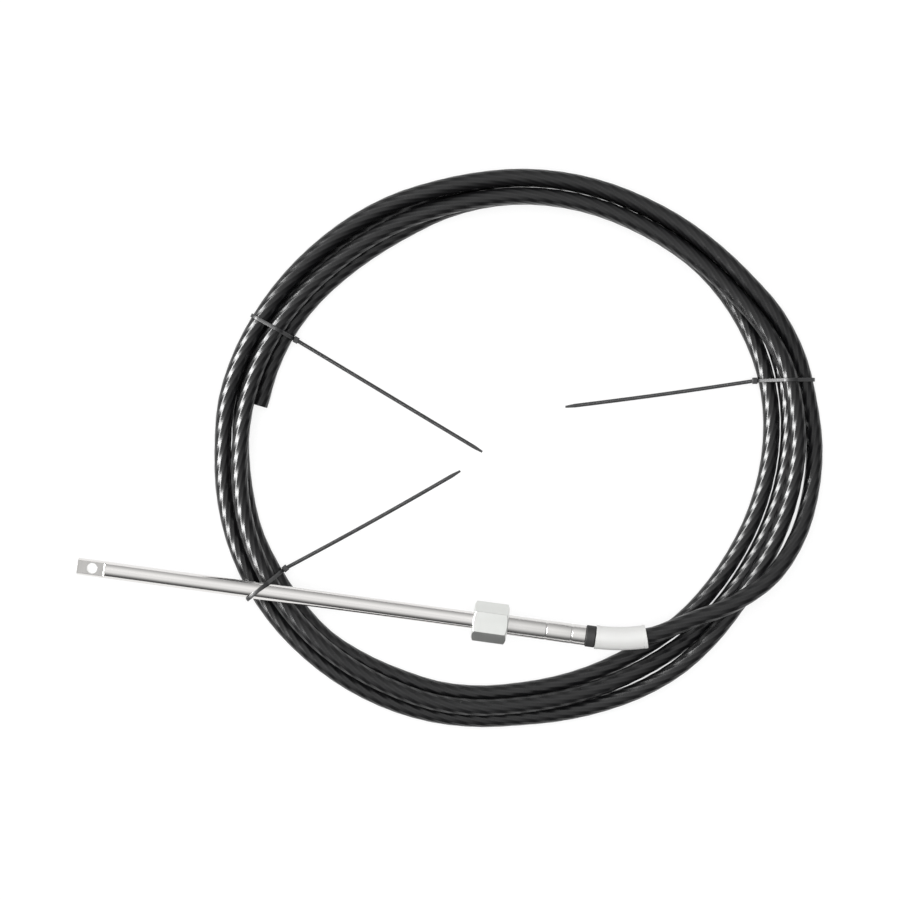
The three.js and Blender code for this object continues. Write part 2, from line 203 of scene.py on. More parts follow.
stations = [on_axis(RING_LENGTH + SEAT_GAP)]
stations += [sleeve_point(SLEEVE_LENGTH * i / SLEEVE_STEPS) + SHIFT for i in range(SLEEVE_STEPS + 1)]
stations += [coil_point(angle) + SHIFT for angle in range(COIL_START, COIL_END + 1, COIL_STEP)]

station_rows = [(0, *stations[0])]
for before, after in zip(stations, stations[1:]):
    station_rows.append((station_rows[-1][0] + (after - before).length, *after))
CABLE_LENGTH = station_rows[-1][0]


def cable_point(distance):
    """The cable's centre, by the distance along it."""
    return Vector([smooth(station_rows, column, distance) for column in (1, 2, 3)])


even_steps = round((CABLE_LENGTH - RIM) / PATH_STEP)
distances = [(CABLE_LENGTH - RIM) * i / even_steps for i in range(even_steps + 1)]
girths = [1.0] * len(distances)
for i in range(1, RIM_STEPS + 1):
    share = i / RIM_STEPS
    distances.append(CABLE_LENGTH - RIM + RIM * math.sin(share * math.pi / 2))
    girths.append(1 - (1 - math.cos(share * math.pi / 2)) * RIM / (CABLE_D / 2))
cable_path = [cable_point(distance) for distance in distances]
print(f"The cable is {CABLE_LENGTH:.3f} m long, in {len(cable_path)} steps")

# %% [markdown]
# ## Writing node trees as arithmetic
# Materials and Geometry Nodes are both graphs, and a graph of sums is hard to read as a list of links. One
# small class wraps the output of a node. Operators on it add Math nodes, so a formula stays a formula.
# Everything else goes through one function that takes the node's type, its settings and its sockets.

# %% The socket wrapper and the node function
class Value:
    """The output of a node. An operator on it adds a Math node to the same tree."""

    def __init__(self, socket):
        self.socket = socket

    def out(self, name):
        """Another output of the same node."""
        return Value(self.socket.node.outputs[name])

    def __add__(self, other):
        return math_node("ADD", self, other)

    def __radd__(self, other):
        return math_node("ADD", other, self)

    def __sub__(self, other):
        return math_node("SUBTRACT", self, other)

    def __rsub__(self, other):
        return math_node("SUBTRACT", other, self)

    def __mul__(self, other):
        return math_node("MULTIPLY", self, other)

    def __rmul__(self, other):
        return math_node("MULTIPLY", other, self)

    def __truediv__(self, other):
        return math_node("DIVIDE", self, other)

    def __rtruediv__(self, other):
        return math_node("DIVIDE", other, self)

    def __mod__(self, other):
        return math_node("MODULO", self, other)

    def __pow__(self, other):
        return math_node("POWER", self, other)


def add_node(tree, kind, settings=None, sockets=None):
    """Adds a node, its settings, and the value or link of each socket. Gives its first output in use."""
    node = tree.nodes.new(kind)
    for name, setting in (settings or {}).items():
        setattr(node, name, setting)
    for key, value in (sockets or {}).items():
        if isinstance(value, Value):
            tree.links.new(value.socket, node.inputs[key])
        else:
            node.inputs[key].default_value = value
    outputs = [socket for socket in node.outputs if socket.enabled]
    return Value(outputs[0]) if outputs else Value(node.inputs[0])


def math_node(operation, *values):
    """A Math node in the tree of whichever value is a node's output."""
    tree = next(value.socket.id_data for value in values if isinstance(value, Value))
    return add_node(tree, "ShaderNodeMath", {"operation": operation}, dict(enumerate(values)))


def lowest(*values):
    return math_node("MINIMUM", *values)


def highest(*values):
    return math_node("MAXIMUM", *values)


def beyond(value, limit):
    """1 where the value is over the limit, and 0 elsewhere."""
    return math_node("GREATER_THAN", value, limit)


print("Nodes are added by", add_node.__name__, "and", math_node.__name__)

# %% [markdown]
# ## Trees that make meshes
# A modelling tree takes named sizes, and a modifier holds the values for one piece. The values are set by the
# identifiers of the sockets, which stay the same if a name is changed. The result is read once as a plain
# mesh, and the modifier goes, because the frame and the export want finished meshes.

# %% Making a tree and taking its mesh
SOCKETS = {
    "float": "NodeSocketFloat",
    "int": "NodeSocketInt",
    "vector": "NodeSocketVector",
    "finish": "NodeSocketMaterial",
}


class Shape:
    """A Geometry Nodes tree with named inputs."""

    def __init__(self, name, **inputs):
        self.tree = bpy.data.node_groups.new(name, "GeometryNodeTree")
        interface = self.tree.interface
        interface.new_socket(name="Geometry", in_out="INPUT", socket_type="NodeSocketGeometry")
        interface.new_socket(name="Geometry", in_out="OUTPUT", socket_type="NodeSocketGeometry")
        for input_name, kind in inputs.items():
            interface.new_socket(name=input_name, in_out="INPUT", socket_type=SOCKETS[kind])
        self.source = self.node("NodeGroupInput")

    def node(self, kind, settings=None, sockets=None):
        return add_node(self.tree, kind, settings, sockets)

    def size(self, name):
        return self.source.out(name)

    def end(self, geometry):
        """Closes the tree: instances made real, shaded smooth, in its finish."""
        real = self.node("GeometryNodeRealizeInstances", None, {0: geometry})
        shaded = self.node("GeometryNodeSetShadeSmooth", None, {0: real})
        dressed = self.node("GeometryNodeSetMaterial", None, {0: shaded, "Material": self.size("finish")})
        self.node("NodeGroupOutput", None, {0: dressed})

    def mesh(self, name, start, **sizes):
        """The plain mesh that the tree makes from a starting mesh and these sizes."""
        holder = bpy.data.objects.new(name, start)
        bpy.context.scene.collection.objects.link(holder)
        modifier = holder.modifiers.new("shape", "NODES")
        modifier.node_group = self.tree
        for item in self.tree.interface.items_tree:
            if item.in_out == "INPUT" and item.name in sizes:
                modifier[item.identifier] = sizes[item.name]
        shaped = holder.evaluated_get(bpy.context.evaluated_depsgraph_get())
        result = bpy.data.meshes.new_from_object(shaped)
        holder.modifiers.remove(modifier)
        bpy.data.objects.remove(holder)
        return result


def path_mesh(name, points, girths=None, closed=False):
    """A line of vertices for a tree to follow, with how thick the piece is at each of them."""
    mesh = bpy.data.meshes.new(name)
    edges = [(i, i + 1) for i in range(len(points) - 1)]
    if closed:
        edges.append((len(points) - 1, 0))
    mesh.from_pydata(points, edges, [])
    girth = mesh.attributes.new("girth", "FLOAT", "POINT")
    girth.data.foreach_set("value", girths or [1.0] * len(points))
    return mesh


def add_piece(name, mesh):
    mesh.name = name
    piece = bpy.data.objects.new(name, mesh)
    bpy.context.scene.collection.objects.link(piece)
    return piece


def triangles(mesh):
    return sum(len(face.vertices) - 2 for face in mesh.polygons)


print("Socket kinds:", ", ".join(SOCKETS))

# %% [markdown]
# ## Finishes
# Each finish is a Principled shader with its plain numbers set on it. What varies is worked out from Object
# coordinates, in metres, so a scratch is as large as on the real thing. The fitting's metals are turned and
# ground, so their grain runs round the axis: a Mapping node turns the pattern into line with the fitting.

# %% The builder of finishes
class Finish:
    """A material on the way: a Principled shader and the nodes that feed it."""

    def __init__(self, name, origin=(0, 0, 0), heading=0.0, **constants):
        self.fed = {}
        self.material = bpy.data.materials.new(name)
        self.material.use_nodes = True
        self.tree = self.material.node_tree
        self.shader = next(node for node in self.tree.nodes if node.type == "BSDF_PRINCIPLED")
        for socket, value in constants.items():
            self.shader.inputs[socket.replace("_", " ").title().replace("Ior", "IOR")].default_value = value
        sockets = {"Vector": self.node("ShaderNodeTexCoord").out("Object")}
        sockets |= {"Location": origin, "Rotation": (0, 0, heading)}
        self.place = self.node("ShaderNodeMapping", {"vector_type": "TEXTURE"}, sockets)

    def node(self, kind, settings=None, sockets=None):
        return add_node(self.tree, kind, settings, sockets)

    def feed(self, socket, value):
        self.fed[socket] = value
        self.tree.links.new(value.socket, self.shader.inputs[socket])

    def part(self, axis):
        """One coordinate of the place, in metres."""
        return self.node("ShaderNodeSeparateXYZ", None, {"Vector": self.place}).out(axis)

    def grain(self, per_metre, detail=3.0, stretch=(1, 1, 1)):
        """Noise from 0 to 1. A stretch under 1 draws it out along that axis."""
        where = self.node("ShaderNodeVectorMath", {"operation": "MULTIPLY"}, {0: self.place, 1: stretch})
        return self.node("ShaderNodeTexNoise", None, {"Vector": where, "Scale": per_metre, "Detail": detail})

    def between(self, low, high, share):
        """A number that goes from low to high as share goes from 0 to 1."""
        return low + share * (high - low)

    def colours(self, first, second, share):
        """A colour that goes from first to second as share goes from 0 to 1. Either may be a socket."""
        first, second = (end if isinstance(end, Value) else (*end, 1) for end in (first, second))
        mixed = self.node("ShaderNodeMix", {"data_type": "RGBA"}, {0: share, 6: first, 7: second})
        return Value(mixed.socket.node.outputs[2])

    def relief(self, height, metres):
        """Feeds the Normal through a Bump node whose height is measured in metres."""
        self.feed("Normal", self.node("ShaderNodeBump", None, {"Height": height, "Distance": metres}))


print("The metal's grain is turned by", round(math.degrees(FITTING_HEADING), 1), "degrees")

# %% [markdown]
# ### Black polyethylene
# The jacket is extruded hot over the conduit's wires, so it is smooth and glossy and shows them as ridges.
# Handling rubs the ridges first. The tree that makes the jacket leaves a number on each vertex, 0 on the
# flats and 1 on the ridges, and the finish is a little greyer and duller where that is high.

# %% Jacket finish
JACKET_BLACK, JACKET_RUBBED = (0.004, 0.004, 0.0045), (0.02, 0.02, 0.021)
JACKET_ROUGHNESS = (0.24, 0.33)
RUBBED_DULLER = 0.1
SCUFFS_PER_METRE, SCUFF_DETAIL, SCUFF_CONTRAST = 90, 5.0, 2.0
SHEEN_PER_METRE = 260
SKIN_PER_METRE, SKIN_DETAIL, SKIN_DEPTH = 900, 4.0, 0.02 * MM

jacket_finish = Finish("black_jacket", ior=1.5, specular_ior_level=0.4)
ridge = jacket_finish.node("ShaderNodeAttribute", {"attribute_name": "ridge"}).out("Fac")
scuffs = jacket_finish.grain(SCUFFS_PER_METRE, SCUFF_DETAIL) ** SCUFF_CONTRAST
rubbed = ridge * scuffs
sheen = jacket_finish.between(*JACKET_ROUGHNESS, jacket_finish.grain(SHEEN_PER_METRE))
jacket_finish.feed("Base Color", jacket_finish.colours(JACKET_BLACK, JACKET_RUBBED, rubbed))
jacket_finish.feed("Roughness", sheen + rubbed * RUBBED_DULLER)
jacket_finish.relief(jacket_finish.grain(SKIN_PER_METRE, SKIN_DETAIL), SKIN_DEPTH)
print("The jacket's finish has", len(jacket_finish.tree.nodes), "nodes")

# %% [markdown]
# ### Rubber, nylon and white plastic
# These three are moulded, so one function makes them: a mottled colour and a fine grain in the skin. The
# rubber ring is evenly dull. The nylon ties are half glossy, and the sleeve has the faint wave that a thick
# wall gets as it cools. Each pattern is given as its scale per metre and its detail.

# %% Moulded finishes
TIE_ROUGHNESS, TIE_MOTTLE = (0.34, 0.5), (700, 4.0)
SLEEVE_ROUGHNESS, SLEEVE_SHEEN = (0.36, 0.46), (500, 3.0)


def moulded(name, colours, mottle, skin, depth, **constants):
    """A moulded plastic or rubber: a pair of colours, the pattern between them and the skin's relief."""
    finish = Finish(name, **constants)
    finish.feed("Base Color", finish.colours(*colours, finish.grain(*mottle)))
    finish.relief(finish.grain(*skin), depth)
    return finish


ring_finish = moulded(
    "black_rubber", colours=((0.009, 0.009, 0.009), (0.022, 0.021, 0.021)), mottle=(420, 4.0),
    skin=(2400, 3.0), depth=0.03 * MM, roughness=0.62, ior=1.45,
)
tie_finish = moulded(
    "black_nylon", colours=((0.008, 0.008, 0.009), (0.02, 0.02, 0.021)), mottle=TIE_MOTTLE,
    skin=(3000, 2.0), depth=0.015 * MM, ior=1.53,
)
tie_finish.feed("Roughness", tie_finish.between(*TIE_ROUGHNESS, tie_finish.grain(*TIE_MOTTLE)))
sleeve_finish = moulded(
    "white_plastic", colours=((0.69, 0.69, 0.675), (0.74, 0.74, 0.73)), mottle=(60, 2.0),
    skin=(1500, 3.0), depth=0.012 * MM, ior=1.49,
)
sleeve_finish.feed("Roughness", sleeve_finish.between(*SLEEVE_ROUGHNESS, sleeve_finish.grain(*SLEEVE_SHEEN)))
print("Moulded:", ", ".join(finish.material.name for finish in (ring_finish, tie_finish, sleeve_finish)))

# %% [markdown]
# ### Polished steel and plated steel
# The ram is ground between wheels and polished, which leaves lines too fine to see that still spread its
# reflections round the bar. The nut is turned from hexagon bar and plated, so it is whiter and more satin.

# %% Metal finishes
GROUND, SMEARED = (1, 0.02, 0.02), (0.25, 1, 1)
LINE_DETAIL = 3.0
SMEARS_PER_METRE, SMEAR_DETAIL = 70, 4.0
SMEAR_DARKENS, SMEAR_DULLS = 0.93, 0.2
SMOOTHEST, ROUGHEST = 0.75, 1.3


def ground_metal(name, colour, roughness, line_depth, lines_per_metre):
    """Metal whose fine lines run round the fitting's axis, with faint smears along it."""
    finish = Finish(name, FITTING_END, FITTING_HEADING, metallic=1.0, base_color=(*colour, 1))
    lines = finish.grain(lines_per_metre, LINE_DETAIL, GROUND)
    smears = finish.grain(SMEARS_PER_METRE, SMEAR_DETAIL, SMEARED)
    darker = tuple(SMEAR_DARKENS * part for part in colour)
    finish.feed("Base Color", finish.colours(darker, colour, smears))
    lined = finish.between(roughness * SMOOTHEST, roughness * ROUGHEST, lines)
    finish.feed("Roughness", lined + smears * (roughness * SMEAR_DULLS))
    finish.relief(lines, line_depth)
    return finish


ram_finish = ground_metal(
    "stainless", (0.79, 0.775, 0.76), roughness=0.14, line_depth=0.0015 * MM, lines_per_metre=5200,
)
hub_finish = ground_metal(
    "swaged_steel", (0.73, 0.72, 0.705), roughness=0.2, line_depth=0.0025 * MM, lines_per_metre=3600,
)
nut_finish = ground_metal(
    "plated_nut", (0.7, 0.71, 0.69), roughness=0.28, line_depth=0.004 * MM, lines_per_metre=2600,
)
print("Metals:", ", ".join(finish.material.name for finish in (ram_finish, hub_finish, nut_finish)))

# %% [markdown]
# ## The jacket
# The jacket shows the wires beneath it as twelve flats and ridges that wind slowly round the cable. Seen from
# above, each flat catches the light for a short way and then turns off, which draws the dashes that run along
# every strand. So the twist has to be real shape. The tree makes one section, a circle with twelve flats cut
# on it, and sweeps it along the path while the tilt grows evenly with the distance.

# %% The jacket's tree
RIDGES = 12
POINTS_PER_RIDGE = 7
FLAT_DEPTH = 0.22 * MM
LAY = 198 * MM

twisted = Shape(
    "Twisted jacket", radius="float", flat_depth="float", ridges="int", points="int", lay="float",
    finish="finish",
)
radius = twisted.size("radius")
ridge_span = math.tau / twisted.size("ridges")
sides = twisted.size("ridges") * twisted.size("points")
circle = twisted.node(
    "GeometryNodeCurvePrimitiveCircle", {"mode": "RADIUS"}, {"Resolution": sides, "Radius": 1.0},
)
point_angle = twisted.node("GeometryNodeInputIndex") * math.tau / sides
from_flat = point_angle % ridge_span - ridge_span / 2
flat_reach = (radius - twisted.size("flat_depth")) / math_node("COSINE", from_flat)
reach = lowest(radius, flat_reach)
direction = twisted.node("GeometryNodeInputPosition")
section_place = twisted.node("ShaderNodeVectorMath", {"operation": "SCALE"}, {0: direction, "Scale": reach})
height_share = 1 - (radius - reach) / twisted.size("flat_depth")
marked = twisted.node(
    "GeometryNodeStoreNamedAttribute", {"data_type": "FLOAT", "domain": "POINT"},
    {0: circle, "Name": "ridge", "Value": height_share},
)
section = twisted.node("GeometryNodeSetPosition", None, {0: marked, "Position": section_place})
line = twisted.node("GeometryNodeMeshToCurve", None, {0: twisted.source})
level = twisted.node("GeometryNodeSetCurveNormal", {"mode": "Z_UP"}, {0: line})
run = twisted.node("GeometryNodeSplineParameter").out("Length")
tilt = run / twisted.size("lay") * math.tau
wound = twisted.node("GeometryNodeSetCurveTilt", None, {0: level, "Tilt": tilt})
girth = twisted.node("GeometryNodeInputNamedAttribute", {"data_type": "FLOAT"}, {"Name": "girth"})
sweep = {0: wound, 1: section, "Scale": girth, "Fill Caps": True}
tube = twisted.node("GeometryNodeCurveToMesh", None, sweep)
twisted.end(tube)
print("The jacket's tree has", len(twisted.tree.nodes), "nodes")

# %% The jacket as a free cord
jacket_line = path_mesh("jacket_path", cable_path, girths)
jacket_mesh = twisted.mesh(
    "jacket_path", jacket_line, radius=CABLE_D / 2, flat_depth=FLAT_DEPTH, ridges=RIDGES,
    points=POINTS_PER_RIDGE, lay=LAY, finish=jacket_finish.material,
)
jacket = add_piece("jacket", jacket_mesh)
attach(jacket, "conduit")
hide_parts("cable_jacket")
print("The jacket has", triangles(jacket_mesh), "triangles")

# %% [markdown]
# ## Turned pieces
# The sleeve, ring, tubes, nut and ram are all turned or moulded round the cable's line, so one function makes
# them. It takes a loop of distances and radii, and places a ring of points for each. The loop may change with
# the angle, which is how a hexagon or two milled flats come out of the same lathe. A small bevel then breaks
# every sharp edge, as a file or a mould does, because an edge without one never catches the light.

# %% The lathe
LATHE_SIDES = 96
WELD = 0.001 * MM
BEVEL_SEGMENTS, BEVEL_ANGLE = 3, 20


def axis_place(distance):
    """The centre and the crosswise direction of the fitting at this distance."""
    return on_axis(distance), FITTING_AXIS.cross(UP)


def sleeve_place(distance):
    """The centre and the crosswise direction of the sleeve at this distance from the fitting's end."""
    heading = FITTING_HEADING + (MOUTH_HEADING - FITTING_HEADING) * distance / SLEEVE_LENGTH
    return sleeve_point(distance) + SHIFT, Vector((-math.sin(heading), math.cos(heading), 0))


def turned(name, profile, place=axis_place):
    """A closed shell: profile is a loop of (distance, radius), or gives one for an angle."""
    shell = bmesh.new()
    columns = []
    for i in range(LATHE_SIDES):
        angle = math.tau * i / LATHE_SIDES
        column = []
        for distance, radius in profile(angle) if callable(profile) else profile:
            centre, across = place(distance)
            outward = across * math.cos(angle) + UP * math.sin(angle)
            column.append(shell.verts.new(centre + outward * radius))
        columns.append(column)
    # A profile that starts on the axis ends on it too, and needs no face along it.
    open_ended = (columns[0][0].co - columns[1][0].co).length == 0
    for column, following in zip(columns, columns[1:] + columns[:1]):
        for k in range(len(column) - open_ended):
            j = (k + 1) % len(column)
            shell.faces.new((column[k], column[j], following[j], following[k]))
    bmesh.ops.remove_doubles(shell, verts=shell.verts, dist=WELD)
    bmesh.ops.recalc_face_normals(shell, faces=shell.faces)
    return bmesh_piece(name, shell)


def bmesh_piece(name, shell):
    """A smoothly shaded piece from a shell that is done with."""
    mesh = bpy.data.meshes.new(name)
    shell.to_mesh(mesh)
    shell.free()
    mesh.shade_smooth()
    return add_piece(name, mesh)


def dress(piece, finish, body, slot, *nodes):
    """Gives a finished piece its material, the body it moves with and the solids it stands for. The slot is
    not used.
    """
    if not piece.data.materials:
        piece.data.materials.append(finish.material)
    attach(piece, body)
    if nodes:
        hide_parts(*nodes)
    print(f"{piece.name}: {triangles(piece.data)} triangles before its edges are softened")


def soften(piece, width, angle=BEVEL_ANGLE):
    """Breaks each edge that is sharper than the angle."""
    bevel = piece.modifiers.new("softened edges", "BEVEL")
    bevel.width = width
    bevel.segments = BEVEL_SEGMENTS
    bevel.limit_method = "ANGLE"
    bevel.angle_limit = math.radians(angle)
    bevel.harden_normals = True


print("Turned pieces have", LATHE_SIDES, "sides")

# %% [markdown]
# ## Sleeve and ring
# The white sleeve is a thick tube that stops the cable from kinking where it enters the fitting. It has a low
# collar at each end. The black ring between it and the steel tube keeps water out.

# %% Sleeve and seal ring
SLEEVE_RADIUS, SLEEVE_WAIST = 11.25 * MM, 10.95 * MM
SLEEVE_CLEARANCE = 0.5 * MM
SLEEVE_BORE = CABLE_D / 2 + SLEEVE_CLEARANCE
COLLAR_RUN = 3.2 * MM
SLEEVE_RUNS = 16
RING_RADIUS = 10.15 * MM

sleeve_profile = [(0, SLEEVE_BORE), (0, SLEEVE_RADIUS), (COLLAR_RUN, SLEEVE_RADIUS)]
waist = SLEEVE_LENGTH - 2 * COLLAR_RUN
sleeve_profile += [(COLLAR_RUN + waist * i / SLEEVE_RUNS, SLEEVE_WAIST) for i in range(SLEEVE_RUNS + 1)]
sleeve_profile += [(SLEEVE_LENGTH - COLLAR_RUN, SLEEVE_RADIUS), (SLEEVE_LENGTH, SLEEVE_RADIUS)]
sleeve_profile += [(SLEEVE_LENGTH * (SLEEVE_RUNS - i) / SLEEVE_RUNS, SLEEVE_BORE) for i in range(SLEEVE_RUNS)]
sleeve = turned("sleeve", sleeve_profile, sleeve_place)
soften(sleeve, width=0.5 * MM)
dress(sleeve, sleeve_finish, "conduit", "white_plastic", "strain_relief_sleeve")

RING_FROM = SEAT_GAP
RING_TO = RING_FROM + RING_LENGTH
ring_profile = [(RING_FROM, SLEEVE_BORE), (RING_FROM, RING_RADIUS)]
ring_profile += [(RING_TO, RING_RADIUS), (RING_TO, SLEEVE_BORE)]
ring = turned("ring", ring_profile)
soften(ring, width=0.9 * MM)
dress(ring, ring_finish, "conduit", "black_rubber", "seal_ring")

# %% [markdown]
# ## Hub tube and guide tube
# The steel hub tube is swaged onto the cable's conduit: two shallow rolled grooves lock it. A collar at its
# front end holds the nut captive. A thinner tube inside it guides the ram, and only shows with the ram out.

# %% Hub tube and guide tube
HUB_RADIUS, HUB_LENGTH = 9.4 * MM, 84 * MM
HUB_COLLAR_RADIUS, HUB_COLLAR = 10.45 * MM, 4 * MM
GUIDE_RADIUS, GUIDE_BORE = 6 * MM, 3.5 * MM
GUIDE_SEAT, STROKE, RAM_OVERLAP = 60 * MM, 228.6 * MM, 60 * MM
GROOVE_DEPTH, GROOVE_LENGTH = 0.35 * MM, 2.4 * MM
GROOVES_AT = [12 * MM, 36 * MM]
GROOVE_POINTS = 8

HUB_FROM = RING_TO + SEAT_GAP
HUB_TO = HUB_FROM + HUB_LENGTH
RAM_FROM = HUB_TO + SEAT_GAP
GUIDE_FROM, GUIDE_TO = HUB_TO - GUIDE_SEAT, RAM_FROM + STROKE + RAM_OVERLAP

hub_profile = [(HUB_FROM, GUIDE_RADIUS + SEAT_GAP), (HUB_FROM, HUB_RADIUS)]
for groove in GROOVES_AT:
    for i in range(GROOVE_POINTS + 1):
        share = i / GROOVE_POINTS
        depth = GROOVE_DEPTH * math.sin(math.pi * share) ** 2
        hub_profile.append((HUB_FROM + groove + share * GROOVE_LENGTH, HUB_RADIUS - depth))
hub_profile += [(HUB_TO - HUB_COLLAR, HUB_RADIUS), (HUB_TO - HUB_COLLAR, HUB_COLLAR_RADIUS)]
hub_profile += [(HUB_TO, HUB_COLLAR_RADIUS), (HUB_TO, GUIDE_RADIUS + SEAT_GAP)]
hub = turned("hub", hub_profile)
soften(hub, width=0.5 * MM, angle=40)
dress(hub, hub_finish, "conduit", "stainless", "hub_tube")

guide_profile = [(GUIDE_FROM, GUIDE_BORE), (GUIDE_FROM, GUIDE_RADIUS)]
guide_profile += [(GUIDE_TO, GUIDE_RADIUS), (GUIDE_TO, GUIDE_BORE)]
guide = turned("guide", guide_profile)
soften(guide, width=0.7 * MM)
dress(guide, ram_finish, "conduit", "stainless", "guide_tube")

# %% [markdown]
# ## Coupling nut
# Six flats come from the distance to a hexagon's side at each angle. The corners are turned down at both
# ends, as on every nut: where the cone meets the flats, the boundary rises and falls in arcs. The thread
# inside is a helix, which a spiral curve with a small three-sided section gives.

# %% Coupling nut
NUT_FLATS, NUT_LENGTH = 33 * MM, 33 * MM
NUT_THREAD_RADIUS, NUT_WALL = 10.7 * MM, 6 * MM
NUT_CHAMFER, EDGE = 2.2 * MM, 0.8 * MM
HEX = math.radians(60)

NUT_FROM = HUB_TO - NUT_WALL - SEAT_GAP - HUB_COLLAR
NUT_TO = NUT_FROM + NUT_LENGTH
nut_corner = NUT_FLATS / math.sqrt(3)
nut_face = NUT_FLATS / 2 - EDGE


def nut_profile(angle):
    """The loop of the nut's wall at this angle: outside round the hexagon, inside down the thread."""
    side = NUT_FLATS / 2 / math.cos(angle % HEX - HEX / 2)
    cut_back = NUT_CHAMFER * (side - nut_face) / (nut_corner + EDGE - nut_face)
    shoulder = NUT_FROM + NUT_WALL
    wall_bore = HUB_RADIUS + SEAT_GAP
    return [
        (NUT_FROM, wall_bore), (NUT_FROM, nut_face), (NUT_FROM + cut_back, side), (NUT_TO - cut_back, side),
        (NUT_TO, nut_face), (NUT_TO, NUT_THREAD_RADIUS + EDGE), (NUT_TO - EDGE, NUT_THREAD_RADIUS),
        (shoulder, NUT_THREAD_RADIUS), (shoulder, wall_bore),
    ]


nut = turned("nut", nut_profile)
soften(nut, width=0.35 * MM)
dress(nut, nut_finish, "coupling_nut", "plated_nut", "coupling_nut")

# %% The nut's thread
THREAD_PITCH = 1.8 * MM
THREAD_DEPTH = 0.55 * MM
THREAD_BURY = 0.05 * MM
THREAD_POINTS = 64
THREAD_SIDES = 3

helix = Shape(
    "Inner thread", radius="float", length="float", pitch="float", depth="float", points="int",
    sides="int", finish="finish",
)
turns = helix.size("length") / helix.size("pitch")
coil = helix.node("GeometryNodeCurveSpiral", None, {
    "Resolution": helix.size("points"), "Rotations": turns, "Start Radius": helix.size("radius"),
    "End Radius": helix.size("radius"), "Height": helix.size("length"),
})
ridge_section = helix.node(
    "GeometryNodeCurvePrimitiveCircle", {"mode": "RADIUS"},
    {"Resolution": helix.size("sides"), "Radius": helix.size("depth")},
)
thread_line = helix.node("GeometryNodeSetCurveNormal", {"mode": "Z_UP"}, {0: coil})
helix.end(helix.node("GeometryNodeCurveToMesh", None, {0: thread_line, 1: ridge_section, "Fill Caps": True}))

thread_from = HUB_TO + EDGE
thread_length = NUT_TO - EDGE - THREAD_DEPTH - thread_from
thread_mesh = helix.mesh(
    "thread_start", bpy.data.meshes.new("thread_start"), radius=NUT_THREAD_RADIUS + THREAD_BURY,
    length=thread_length, pitch=THREAD_PITCH, depth=THREAD_DEPTH, points=THREAD_POINTS, sides=THREAD_SIDES,
    finish=nut_finish.material,
)
turn_to_axis = FITTING_AXIS.to_track_quat("Z", "Y").to_matrix().to_4x4()
thread_mesh.transform(turn_to_axis)
for vertex in thread_mesh.vertices:
    vertex.co += on_axis(thread_from)
thread = add_piece("nut_thread", thread_mesh)
dress(thread, nut_finish, "coupling_nut", "plated_nut")

# %% [markdown]
# ## Ram
# The ram is a ground bar with a long bore for the guide tube. Its tip is milled flat on two sides and drilled
# for the bolt of the engine's link. The flats are the same lathe with a limit on the height, and the hole is
# the one cut here that takes a boolean.

# %% Ram
RAM_LENGTH = 397 * MM
EYE_FROM_TIP, EYE_BORE, EYE_FLAT_LENGTH, EYE_THICK = 14 * MM, 9.9 * MM, 25 * MM, 10 * MM
MILL_RUNOUT = 1.2 * MM
MILL_STEPS = 5
MILL_REST = 0.3 * MM
RAM_TO = RAM_FROM + RAM_LENGTH


def ram_profile(angle):
    """The ram's wall at this angle, from the end of its bore round to the tip, with the mill's runout."""
    outer = RAM_OD / 2
    bore = GUIDE_RADIUS + SEAT_GAP
    bottom = GUIDE_TO + SEAT_GAP
    points = [(bottom, 0), (bottom, bore), (RAM_FROM, bore), (RAM_FROM, outer)]
    flat_from = RAM_TO - EYE_FLAT_LENGTH
    upright = max(abs(math.sin(angle)), EYE_THICK / RAM_OD)
    for i in range(MILL_STEPS + 1):
        share = i / MILL_STEPS
        half = outer - (outer - EYE_THICK / 2) * math.sin(share * math.pi / 2)
        runout = MILL_RUNOUT * (1 - math.cos(share * math.pi / 2))
        points.append((flat_from - MILL_RUNOUT + runout, min(outer, half / upright)))
    flat = min(outer, EYE_THICK / 2 / upright)
    return points + [(flat_from + MILL_REST, flat), (RAM_TO, flat), (RAM_TO, 0)]


def drilled(piece, centre, bore, depth):
    """Cuts a round hole straight down through a piece."""
    drill = bmesh.new()
    ends = {"radius1": bore / 2, "radius2": bore / 2}
    bmesh.ops.create_cone(drill, cap_ends=True, segments=LATHE_SIDES, depth=depth, **ends)
    bmesh.ops.translate(drill, verts=drill.verts, vec=centre)
    bit = bmesh_piece("drill", drill)
    cut = piece.modifiers.new("bolt hole", "BOOLEAN")
    cut.operation = "DIFFERENCE"
    cut.solver = "EXACT"
    cut.object = bit
    evaluated = piece.evaluated_get(bpy.context.evaluated_depsgraph_get())
    mesh = bpy.data.meshes.new_from_object(evaluated)
    piece.modifiers.remove(cut)
    piece.data = mesh
    bpy.data.objects.remove(bit)


ram = turned("ram_bar", ram_profile)
drilled(ram, on_axis(RAM_TO - EYE_FROM_TIP), EYE_BORE, 2 * RAM_OD)
soften(ram, width=0.45 * MM, angle=35)
dress(ram, ram_finish, "ram", "stainless", "ram")

# %% [markdown]
# The tip was milled after the bar was polished, so its two flats are duller and show the cutter's passes
# across the bar. They stay part of the same steel, so the finish gets a mask: past the place where the flats
# begin, and as far from the axis as they are.

# %% The milled flats
MILLED_COLOUR = (0.4, 0.393, 0.383)
MILLED_ROUGHNESS = (0.2, 0.3)
MILLED_EDGE = 0.15 * MM
ACROSS_BAR = (1, 0.04, 1)
PASSES_PER_METRE, PASS_DETAIL = 1100, 2.0

